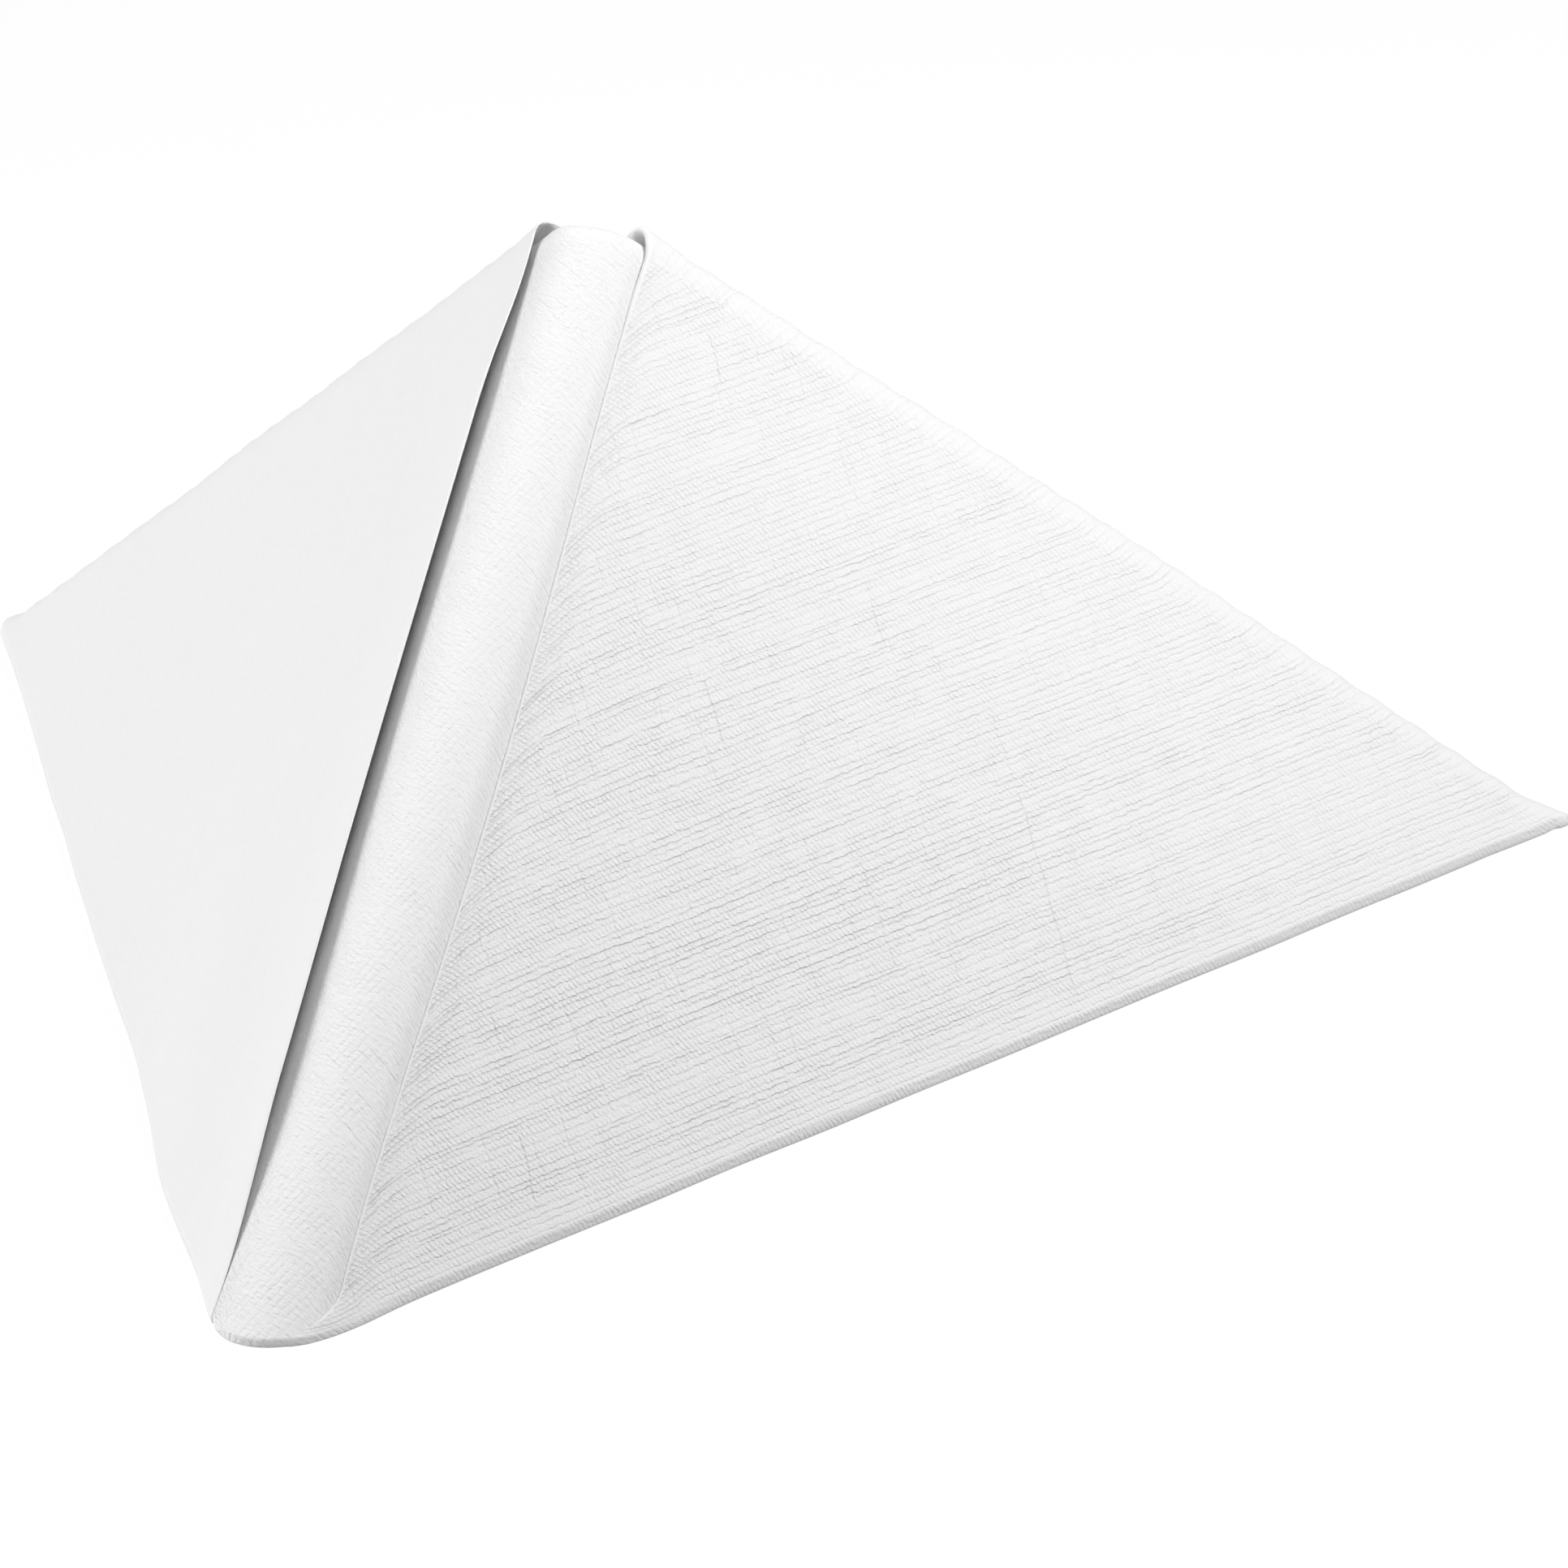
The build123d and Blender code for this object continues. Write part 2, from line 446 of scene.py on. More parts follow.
class Flap:
    """One flap: where its free edge lies, and how far the paper stands off the wall."""

    def __init__(self, wall, name):
        self.wall = wall
        self.side = SIDES[name]
        self.rim = RIMS[name]
        self.bow = BOWS[name]
        for size in FLAP_SIZES:
            setattr(self, size, getattr(wall.sizes, f"{name}_{size}"))
        self.edge_q = self.edge - wall.shift
        self.edge_run = wall.leg - self.edge
        toe = (np.array(self.side * self.edge_q), np.array(wall.middle), 0.0)
        self.toe_run = wall.run_to(wall.sizes.roll_height * EDGE_ROLL, *toe)

    def stand_off(self, x, run, turn):
        """Off of the flap's top, x from its free edge.

        It is half the wall, plus the flare over the fold and the lift along the ridge, which goes
        at the toe. The tuck brings a closed edge down on the layers below, and the sink brings it
        lower still at the toe. All fade with x. A faint wave is added.
        """
        turn = np.asarray(turn)
        outside = np.where(turn > INSIDE_TURN, 0.0, 1.0)
        crest = np.sin(turn) ** FLARE_PEAK
        ends = self.flare_out * np.cos(turn / 2) ** 2 + FLARE_IN * np.sin(turn / 2) ** 2
        reach = np.where(outside > 0, FLARE_REACH_OUT, FLARE_REACH_IN)
        flare = self.flare * (ends + (1 - ends) * crest) * soft(run / reach) * soft(x / self.flare_width)
        toe = ease((run - self.edge_run + TOE_START) / TOE_LENGTH)
        lift = outside * self.lift * ease(run / LIFT_REACH) * (1 - TOE_SHUT * toe)
        shut_outside = self.closed * ease(run / TUCK_REACH_OUT) + self.closing * toe
        tuck = self.tuck * np.where(outside > 0, shut_outside, ease(run / TUCK_REACH_IN))
        sink = outside * self.sink * soft((self.toe_run - run) / SINK_LENGTH)
        wave = WAVE_HEIGHT * ripple(x, run, WAVE_LENGTH, SEED + self.side)
        wave = wave * ease((x - WAVE_START) / WAVE_REACH) * (0.5 + 0.5 * outside)
        raised = flare + lift * soft(x / self.wall.sizes.bend)
        lowered = tuck * soft(x / TUCK_WIDTH) + sink * soft(x / SINK_WIDTH)
        return self.wall.middle + raised - lowered + wave

    def sweep(self, x, run, turn):
        """How far the paper near the free edge moves towards the ridge.

        The bow is the Bernstein sum of its control values over u, from the apex (0) to the toe (1).
        The wrap round the toe is a quarter of an ellipse, 1 - sqrt(1 - w^2). Over the fold the edge
        curls towards the ridge by sin(turn / 2)^2 and is drawn back by sin(turn)^2.
        """
        turn = np.asarray(turn)
        u = np.clip(run / self.edge_run, 0, 1)
        last = len(self.bow) - 1
        bow = sum(b * comb(last, i) * u**i * (1 - u) ** (last - i) for i, b in enumerate(self.bow))
        near_toe = np.clip(1 - (self.toe_run - run) / TOE_TURN, 0, 1)
        wrap = self.wrap * (1 - np.sqrt(1 - near_toe**2))
        inside = self.bow[0] * (1 - ease(run / SWEEP_REACH))
        curl = self.curl * np.sin(turn / 2) ** 2 * soft(run / SWEEP_REACH)
        moved = np.where(turn > INSIDE_TURN, inside, bow + wrap) + curl - self.draw * np.sin(turn) ** 2
        return moved * soft(x / SWEEP_REACH)

    def roll(self, x):
        """Height of the base fold, which runs out towards the free edge."""
        return self.wall.sizes.roll_height * (EDGE_ROLL + (1 - EDGE_ROLL) * ease(x / EDGE_ROLL_REACH))

    def point(self, x, height, run, turn):
        """q, off and run of points at x and a height, or at x over the fold, where run is given.

        A crimp moves them up and down the ridge next to the fold.
        """
        wall = self.wall
        flat_q = self.edge_q + x
        if run is None:
            run = wall.run_to(height, self.side * flat_q, np.full_like(x, wall.middle), turn)
            off = self.stand_off(x, run, turn)
            q = self.side * (flat_q - self.sweep(x, run, turn))
            run = wall.run_to(height, q, off, turn)
        else:
            q = self.side * (flat_q - self.sweep(x, run, turn))
        off = self.stand_off(x, run, turn)
        phase = 2 * np.pi * x / CRIMP_LENGTH + CRIMP_SWAY * np.sin(x / CRIMP_SWAY_LENGTH)
        crimp = CRIMP_HEIGHT * np.sin(phase) * np.exp(-run / CRIMP_FADE)
        return q, off, run + crimp * ease(x / CRIMP_REACH)


def roll_under(wall, start, q, turn, height):
    """The fold along the base: a bevel, then a round that turns under; inside, straight down.

    In the outward and upward directions both are arcs. The bevel's slope goes from the kink to as
    much under, and the round's from there to level. Their radii make up the height together.
    """
    kink = wall.sizes.roll_kink
    bevel = BEVEL_SHARE / (2 * np.sin(kink))
    round_under = (1 - BEVEL_SHARE) / (1 - np.sin(kink))
    bevel_turn = kink - 2 * kink * np.clip(ROLL_STEPS / BEVEL_ROWS, 0, 1)
    rounded = np.clip((ROLL_STEPS - BEVEL_ROWS) / (1 - BEVEL_ROWS), 0, 1)
    round_turn = -kink - (np.pi / 2 - kink) * rounded
    out = bevel * (np.cos(bevel_turn) - np.cos(kink)) + round_under * (np.cos(round_turn) - np.cos(kink))
    fall = bevel * (np.sin(bevel_turn) - np.sin(kink)) + round_under * (np.sin(round_turn) + np.sin(kink))
    out, fall = out[:, None] * height, fall[:, None] * height
    around = out[..., None] * wall.outward(q) + fall[..., None] * np.array([0, 0, 1])
    straight = (fall / wall.down[2])[..., None] * wall.down
    weight = np.broadcast_to(np.cos(np.asarray(turn) / 2) ** 2, q.shape)[None, :, None]
    return start + weight * around + (1 - weight) * straight


def flap_rows(flap):
    """q, off, run, turn and x of a flap's grid, down to the base fold.

    Row s lies at the height between the apex (s = 0) and the base fold (s = 1). Columns are a share
    f of the way from the free edge to the back fold, then an angle over the fold, then f back again.
    """
    wall = flap.wall
    s = LEVEL_ROWS[:, None]
    f = np.linspace(0, 1, FACE_COLUMNS + 1)[None, :] ** COLUMN_CROWDING

    def top_and_reach(turn):
        """Height of the free edge's top, and x where the fold comes down to the base fold's height."""
        q = np.full_like(turn, flap.side * flap.edge_q)
        off = np.full_like(turn, wall.middle)
        run = np.zeros_like(turn)
        top = wall.height(q, off, run, turn)
        slope = wall.height(q + flap.side * PROBE_STEP, off, run, turn) - top
        return top, (wall.sizes.roll_height - top) / slope * PROBE_STEP

    def face(turn, order):
        """One side of the wall, with the free edge first (1) or last (-1)."""
        top, reach = top_and_reach(np.array([turn]))
        x = (s * f * reach)[:, ::order]
        turn = np.full_like(x, turn)
        return *flap.point(x, top + s * (flap.roll(x[-1]) - top), None, turn), turn, x

    def fold():
        x = s * top_and_reach(FOLD_TURNS)[1]
        turn = np.broadcast_to(FOLD_TURNS, x.shape)
        return *flap.point(x, None, np.zeros_like(x), turn), turn, x

    parts = (face(0.0, 1), fold(), face(np.pi, -1))
    return [np.concatenate(arrays, axis=1) for arrays in zip(*parts)]


def flap_grid(flap):
    """Points of one flap and their places on the sheet.

    The base fold's rows come after the level ones. The back corners stick out by the nubs. Outside,
    the low part moves out by the belly and the spread, and in by the skirt.
    """
    wall = flap.wall
    q, off, run, turn, x = flap_rows(flap)
    points = wall.place(q, off, run, turn)
    height = flap.roll(x[-1])
    points = np.concatenate([points, roll_under(wall, points[-1], q[-1], turn[-1], height)])
    low = ROLL_LENGTH * height * ROLL_STEPS[:, None]
    run = np.concatenate([run, run[-1] + low])
    x = np.concatenate([x, x[-1] + 0 * low])
    turn = np.concatenate([turn, turn[-1] + 0 * low])

    up = points[..., 2]
    nub = wall.sizes.tip_nub * bell((x[-1] - x[-1].max()) / NUB_WIDTH) * (1 - ease(up / NUB_HEIGHT))
    along_base = np.array([flap.side * wall.nose[2] * np.sin(wall.half), -wall.down[2], 0])
    belly = flap.belly * bell((x - BELLY_PLACE) / BELLY_WIDTH)
    spread = flap.spread * ease((x - SPREAD_START) / SPREAD_REACH)
    bulge = (belly + spread) * (1 - ease(up / BULGE_HEIGHT)) - flap.skirt * soft(up / SKIRT_HEIGHT)
    bulge = bulge * ease(x / BULGE_REACH) * np.cos(turn / 2) ** 2
    points = points + nub[..., None] * along_base / np.linalg.norm(along_base)
    points = points + bulge[..., None] * wall.outward(flap.side * (flap.edge_q + x))

    distance = flap.edge + x
    unrolled = np.where(turn > np.pi / 2, -run, run) - wall.middle * turn
    line = (distance + unrolled) / np.sqrt(2) - LINE_TURN * soft(x / LINE_TURN_WIDTH)
    return points, np.stack([(distance - unrolled) / np.sqrt(2), line], -1)


def seam_columns(right, left):
    """Kind, flap, share and drop of each column of the seam, from the right rim to the left one.

    They go half round the lip, back under the flap, out again on the layers below, and over the
    ridge. A column of the ridge band has its q for a share.
    """
    sides = []
    for flap in (right, left):
        made = [("rim", flap, 0.0, 0.0)] + [("rim", flap, along, drop) for along, drop in flap.rim]
        made += [("under", flap, step, 0.0) for step in SLIT_STEPS]
        made += [("bed", flap, step, 0.0) for step in SLIT_STEPS[::-1]]
        sides.append(made)
    band = [("band", None, q, 0.0) for q in np.linspace(right.edge_q, -left.edge_q, BAND_COLUMNS)]
    return sides[0] + band + sides[1][::-1]


def seam_grid(right, left):
    """Points of the seam, their places on the sheet, and which columns of faces belong to the flaps.

    Rows run up the ridge outside, over the fold at the apex and down the valley inside, level at
    the same share s of the way down.
    """
    wall = right.wall
    sizes = wall.sizes
    columns = seam_columns(right, left)
    s = LEVEL_ROWS
    middle_q = (right.edge_q - left.edge_q) / 2
    half_width = (right.edge_q + left.edge_q) / 2

    def slit(over):
        """Depth of the slit down a column: deeper at the apex, where the flaps stand open."""
        return sizes.slit + APEX_SLIT * (np.ones_like(FOLD_TURNS) if over else soft(s / APEX_SLIT_END))

    def roll_height(kind, flap, value):
        """Height of the base fold under a column."""
        if kind == "band":
            return left.roll(0.0)
        return flap.roll(0.0 if kind == "rim" else value * sizes.slit)

    def toe_bulge(q):
        """Share of the toe's belly across the ridge."""
        return bell((q - TOE_BELLY_PLACE) / TOE_BELLY_WIDTH)

    def column(kind, flap, value, drop, turn):
        """q, off, run and turn of one column: down a side, or over the fold where turn is None."""
        over = turn is None
        base = roll_height(kind, flap, value)
        turn = FOLD_TURNS if over else np.full_like(s, turn)
        zero = np.zeros_like(turn)

        def down(q, off):
            top = wall.height(q, off, zero, turn)
            return zero if over else wall.run_to(top + s * (base - top), q, off, turn)

        if kind in ("band", "bed"):
            q = zero + value if kind == "band" else flap.side * (flap.edge_q + value * slit(over))
            low = ease((down(q, zero + wall.band) - TOE_BELLY_START) / TOE_BELLY_REACH)
            bulge = toe_bulge(q)
            if kind == "bed":
                bulge = (flap is left) * (1 - value) * toe_bulge(-left.edge_q)
            off = wall.band + sizes.toe_belly * bulge * low * np.cos(turn / 2) ** 2
            run = down(q, off)
            if kind == "band":
                crown = sizes.crown * (1 - ((q - middle_q) / half_width) ** 2)
                run = run - crown * soft(run / CROWN_REACH)
            return q, off, run, turn
        x = value * slit(over) if kind == "under" else zero
        top = wall.height(flap.side * (flap.edge_q + x), zero + wall.middle, zero, turn)
        height = None if over else top + s * (base - top)
        q, off, run = flap.point(x, height, zero if over else None, turn)
        lip = np.minimum(flap.lip, off - wall.band - LEAST_GAP)
        if kind == "rim":
            return q + flap.side * value * lip / 2, off + drop * lip / 2, run, turn
        gap = np.maximum(off - lip - wall.band, 2 * LEAST_GAP) * (1 - value) + LEAST_GAP
        return q, wall.band + gap, run, turn

    def all_columns(turn):
        return [np.stack(arrays, 1) for arrays in zip(*[column(*made, turn) for made in columns])]

    sides = []
    rolls = np.array([roll_height(*made[:3]) for made in columns])
    low = ROLL_LENGTH * rolls * ROLL_STEPS[:, None]
    for side_turn in (0.0, np.pi):
        q, off, run, turn = all_columns(side_turn)
        points = wall.place(q, off, run, turn)
        under = roll_under(wall, points[-1], q[-1], turn[-1], rolls)
        pairs = ((points, under), (q, q[-1] + 0 * low), (run, run[-1] + low))
        sides.append([np.concatenate(pair) for pair in pairs])
    q, off, run, turn = all_columns(None)
    cap = (wall.place(q, off, run, turn), q, run - wall.middle * np.sin(turn))
    points, q, run = [np.concatenate([o[::-1], c, i]) for o, c, i in zip(sides[0], cap, sides[1])]
    slant = RIDGE_SLANT * q + LEFT_RIDGE_SLANT * np.minimum(q, 0) ** 3
    sheet = np.stack([(slant + run) / np.sqrt(2), (run - slant) / np.sqrt(2)], -1)
    of_flap = np.array([made[0] in ("rim", "under") for made in columns])
    return points, sheet, of_flap[:-1] & of_flap[1:]


def strip_faces(near, far):
    """Quads between two rows of point numbers, or between two stacks of rows."""
    return np.stack([near[..., :-1], near[..., 1:], far[..., 1:], far[..., :-1]], -1).reshape(-1, 4)


def grid_faces(number, closing):
    """Quads of one grid, with those that close it, and the numbers on its border.

    A grid closed by its last row folds that row on itself, outside against inside. One closed by
    its ends joins its first row to its last one.
    """
    border = [number[:, 0], number[:, -1]]
    near, far = number[0], number[-1]
    if closing == "last row":
        border.append(number[0])
        half = number.shape[1] // 2
        near, far = number[-1, :half], number[-1, ::-1][:half]
    return np.concatenate([strip_faces(number[:-1], number[1:]), strip_faces(near, far)]), border


def build_paper(name, grids, materials):
    """One mesh from grids of points, sheet places, closing and material, welded where they meet."""
    points, sheets, quads, slots, border = [], [], [], [], []
    first = 0
    for grid, sheet, closing, slot in grids:
        number = first + np.arange(grid[..., 0].size).reshape(grid.shape[:2])
        faces, edge = grid_faces(number, closing)
        grid[..., 2] = np.maximum(grid[..., 2], 0)
        points.append(grid.reshape(-1, 3))
        sheets.append(sheet.reshape(-1, 2) * MILLIMETRES)
        quads.append(faces)
        slots.append(np.resize(slot, len(faces)))
        border += edge
        first += number.size
    points, sheets, quads, slots, border = map(np.concatenate, (points, sheets, quads, slots, border))
    mesh = bpy.data.meshes.new(name)
    mesh.vertices.add(len(points))
    mesh.vertices.foreach_set("co", points.astype(np.float32).ravel())
    mesh.loops.add(quads.size)
    mesh.loops.foreach_set("vertex_index", quads.astype(np.int32).ravel())
    mesh.polygons.add(len(quads))
    mesh.polygons.foreach_set("loop_start", np.arange(0, quads.size, 4, dtype=np.int32))
    mesh.polygons.foreach_set("material_index", slots.astype(np.int32))
    layer = mesh.uv_layers.new(name="sheet")
    layer.data.foreach_set("uv", sheets[quads.ravel()].astype(np.float32).ravel())
    for material in materials:
        mesh.materials.append(material)
    mesh.update()
    work = bmesh.new()
    work.from_mesh(mesh)
    work.verts.ensure_lookup_table()
    edge = [work.verts[i] for i in np.unique(border)]
    bmesh.ops.remove_doubles(work, verts=edge, dist=WELD_DISTANCE)
    bmesh.ops.dissolve_degenerate(work, edges=work.edges, dist=SLIVER_LENGTH)
    bmesh.ops.recalc_face_normals(work, faces=work.faces)
    work.to_mesh(mesh)
    work.free()
    mesh.polygons.foreach_set("use_smooth", np.ones(len(mesh.polygons), dtype=bool))
    mesh.update()
    piece = bpy.data.objects.new(name, mesh)
    bpy.context.collection.objects.link(piece)
    return piece


class Nodes:
    """Short ways to add and join the nodes of one tree."""

    def __init__(self, tree):
        self.tree = tree

    def add(self, kind, inputs=None, **settings):
        """A new node with its settings and inputs."""
        node = self.tree.nodes.new(kind)
        for key, value in settings.items():
            setattr(node, key, value)
        for key, value in (inputs or {}).items():
            self.feed(node.inputs[key], value)
        return node

    def feed(self, socket, value):
        """Joins a socket to another one, or sets its value."""
        if isinstance(value, bpy.types.NodeSocket):
            self.tree.links.new(value, socket)
        else:
            socket.default_value = value

    def math(self, operation, *values, clamp=False):
        """Result of a sum on one to three values."""
        node = self.add("ShaderNodeMath", operation=operation, use_clamp=clamp)
        for socket, value in zip(node.inputs, values):
            self.feed(socket, value)
        return node.outputs[0]

    def times(self, one, other):
        """Product of two values."""
        return self.math("MULTIPLY", one, other)

    def fade(self, value, low, high, to_low=1.0, to_high=0.0):
        """Smooth step from to_low at low to to_high at high."""
        inputs = {"Value": value, "From Min": low, "From Max": high, "To Min": to_low, "To Max": to_high}
        return self.add("ShaderNodeMapRange", inputs, interpolation_type="SMOOTHSTEP").outputs["Result"]

    def noise(self, vector, scale, detail=1.0, rough=0.5):
        """Smooth noise over a flat place, -0.5 to 0.5."""
        inputs = {"Vector": vector, "Scale": scale, "Detail": detail, "Roughness": rough}
        node = self.add("ShaderNodeTexNoise", inputs, noise_dimensions="2D")
        return self.math("SUBTRACT", node.outputs["Fac"], 0.5)

    def drift(self, u, v, along, across, detail=1.0):
        """Noise with so many waves a unit along u and across v."""
        place = self.vector(self.times(u, along), self.times(v, across))
        return self.noise(place, 1.0, detail)

    def wander(self, v, across, row, detail=1.0):
        """Noise that changes with v only, taken along one row of the noise."""
        return self.noise(self.vector(row, self.times(v, across)), 1.0, detail)

    def chance(self, number):
        """Random value and colour of a whole number."""
        return self.add("ShaderNodeTexWhiteNoise", {"W": number}, noise_dimensions="1D").outputs

    def vector(self, x, y):
        """Flat place from its two coordinates."""
        return self.add("ShaderNodeCombineXYZ", {"X": x, "Y": y}).outputs[0]

    def parts(self, vector):
        """The three coordinates of a place."""
        return self.add("ShaderNodeSeparateXYZ", {"Vector": vector}).outputs


def make_group(name, numbers, outputs):
    """An empty shader group with a place and named numbers, and its input and output sockets."""
    tree = bpy.data.node_groups.new(name, "ShaderNodeTree")
    tree.interface.new_socket("Vector", in_out="INPUT", socket_type="NodeSocketVector")
    for label, default in numbers.items():
        socket = tree.interface.new_socket(label, in_out="INPUT", socket_type="NodeSocketFloat")
        socket.default_value = default
    for label in outputs:
        tree.interface.new_socket(label, in_out="OUTPUT", socket_type="NodeSocketFloat")
    given = tree.nodes.new("NodeGroupInput").outputs
    return tree, Nodes(tree), given, tree.nodes.new("NodeGroupOutput").inputs


def thread_group():
    """Embossed linen: lines along U, each with its own place and depth, and slanted ticks between.

    Cell n across V holds one line, off its middle by a seeded chance. The ticks are one slanted
    grating, in patches, and fainter on the lines.
    """
    tick_sway = 0.22
    tick_width = 0.34
    tick_patches = 2.6
    tick_share = 0.7
    tick_off_line = (0.04, 0.16, 0.3, 1.0)
    slow_waver = 0.7
    quick_waver = 0.34
    least_depth = 0.6
    numbers = {"Pitch": 0.78, "Jitter": 0.45, "Unevenness": 0.9, "Waver": 1.0, "Line Width": 0.24}
    numbers |= {"Breaks": 1.4, "Whole": 0.75, "Tick Pitch": 0.62, "Tick Slant": -0.52}
    tree, make, given, result = make_group("linen emboss", numbers, ["Line", "Tick"])
    u, v = make.parts(given["Vector"])[:2]
    slow = make.drift(u, v, along=0.03, across=0.1)
    quick = make.drift(u, v, along=0.95, across=0.8)
    slanted = make.math("MULTIPLY_ADD", v, given["Tick Slant"], u)
    slanted = make.math("MULTIPLY_ADD", quick, tick_sway, slanted)
    tick_part = make.math("FRACT", make.math("DIVIDE", slanted, given["Tick Pitch"]))
    from_tick = make.math("ABSOLUTE", make.math("SUBTRACT", tick_part, 0.5))
    v = make.math("MULTIPLY_ADD", slow, make.times(given["Waver"], slow_waver), v)
    v = make.math("MULTIPLY_ADD", quick, make.times(given["Waver"], quick_waver), v)
    v = make.math("MULTIPLY_ADD", make.wander(v, across=0.4, row=8.5), given["Unevenness"], v)
    cell = make.math("DIVIDE", v, given["Pitch"])
    number = make.math("FLOOR", cell)
    chance = make.chance(number)
    moved = make.times(make.math("SUBTRACT", chance["Value"], 0.5), given["Jitter"])
    part = make.math("SUBTRACT", make.math("SUBTRACT", make.math("FRACT", cell), 0.5), moved)
    from_line = make.times(make.math("ABSOLUTE", part), given["Pitch"])
    line = make.fade(from_line, 0.0, given["Line Width"])
    depth = make.add("ShaderNodeSeparateColor", {"Color": chance["Color"]}).outputs["Green"]
    depth = make.math("MULTIPLY_ADD", depth, 1 - least_depth, least_depth)
    stretch = make.drift(u, number, along=0.25, across=3.7, detail=2.0)
    unbroken = make.math("MULTIPLY_ADD", stretch, given["Breaks"], given["Whole"], clamp=True)
    depth = make.times(depth, unbroken)
    patch = make.drift(u, v, along=0.2, across=0.3, detail=2.0)
    patch = make.math("MULTIPLY_ADD", patch, tick_patches, tick_share, clamp=True)
    tick = make.times(make.fade(from_tick, 0.0, tick_width), patch)
    make.feed(result["Line"], make.times(line, depth))
    make.feed(result["Tick"], make.times(tick, make.fade(from_line, *tick_off_line)))
    return tree


def cross_group():
    """Faint threads across the lines: one in each uneven cell along U, broken into stretches along V."""
    wobble = 0.8
    spare_side = 0.15
    stretch_fade = (0.02, 0.2, 0.0, 1.0)
    tree, make, given, result = make_group(
        "cross threads", {"Pitch": 1.5, "Lean": 0.06, "Width": 0.3}, ["Mask"]
    )
    u, v = make.parts(given["Vector"])[:2]
    leaning = make.math("MULTIPLY_ADD", v, given["Lean"], u)
    u = make.math("MULTIPLY_ADD", make.wander(v, across=0.5, row=3.5, detail=2.0), wobble, leaning)
    cell = make.math("DIVIDE", u, given["Pitch"])
    number = make.math("FLOOR", cell)
    middle = make.math("MULTIPLY_ADD", make.chance(number)["Value"], 1 - 2 * spare_side, spare_side)
    away = make.math("ABSOLUTE", make.math("SUBTRACT", make.math("FRACT", cell), middle))
    line = make.fade(make.times(away, given["Pitch"]), 0.0, given["Width"])
    stretch = make.drift(v, number, along=0.11, across=5.3)
    make.feed(result["Mask"], make.times(line, make.fade(stretch, *stretch_fade)))
    return tree


def stray_group():
    """One stray thread across the lines: a leaning, slightly waving stripe round a place on the sheet."""
    wave_rate = 0.9
    wave_size = 0.12
    full_share = 0.6
    numbers = {"U": 0.0, "V": 0.0, "Half Length": 8.0, "Width": 0.3, "Lean": 0.12}
    tree, make, given, result = make_group("stray thread", numbers, ["Mask"])
    u, v = make.parts(given["Vector"])[:2]
    from_u = make.math("SUBTRACT", u, given["U"])
    from_v = make.math("SUBTRACT", v, given["V"])
    wave = make.times(make.math("SINE", make.times(v, wave_rate)), wave_size)
    leaning = make.math("MULTIPLY_ADD", from_v, given["Lean"], from_u)
    mask = make.fade(make.math("ABSOLUTE", make.math("ADD", leaning, wave)), 0.0, given["Width"])
    full = make.times(given["Half Length"], full_share)
    end = make.fade(make.math("ABSOLUTE", from_v), full, given["Half Length"])
    make.feed(result["Mask"], make.times(mask, end))
    return tree


def arch_group():
    """Places along curves that fall across the ridge, from sheet coordinates at 45 degrees to it.

    With p = (U - V) / sqrt(2) and r = (U + V) / sqrt(2), Along is 1.6 p and Level is
    r - 0.5 p - 0.015 p^3.
    """
    draw_out = 1.6
    tilt = -0.5
    curve = -0.015
    tree, make, given, result = make_group("ridge arches", {}, ["Along", "Level"])
    u, v = make.parts(given["Vector"])[:2]
    across = make.times(make.math("SUBTRACT", u, v), np.sqrt(0.5))
    down = make.times(make.math("ADD", u, v), np.sqrt(0.5))
    slope = make.math("MULTIPLY_ADD", make.times(across, across), curve, tilt)
    make.feed(result["Along"], make.times(across, draw_out))
    make.feed(result["Level"], make.math("MULTIPLY_ADD", across, slope, down))
    return tree


def fibre_group():
    """Paper fibre: fine noise drawn out along U, with soft blotches."""
    blotch_scale = 0.16
    tree, make, given, result = make_group(
        "paper fibre", {"Stretch": 1.3, "Fineness": 3.4}, ["Height", "Blotch"]
    )
    u, v = make.parts(given["Vector"])[:2]
    drawn = make.vector(make.math("DIVIDE", u, given["Stretch"]), v)
    make.feed(result["Height"], make.noise(drawn, given["Fineness"], detail=2.0, rough=0.65))
    make.feed(result["Blotch"], make.noise(given["Vector"], blotch_scale, detail=2.0))
    return tree


def fresh_nodes(owner):
    """Empties the node tree of a material or a world, for new nodes."""
    owner.use_nodes = True
    owner.node_tree.nodes.clear()
    return Nodes(owner.node_tree)


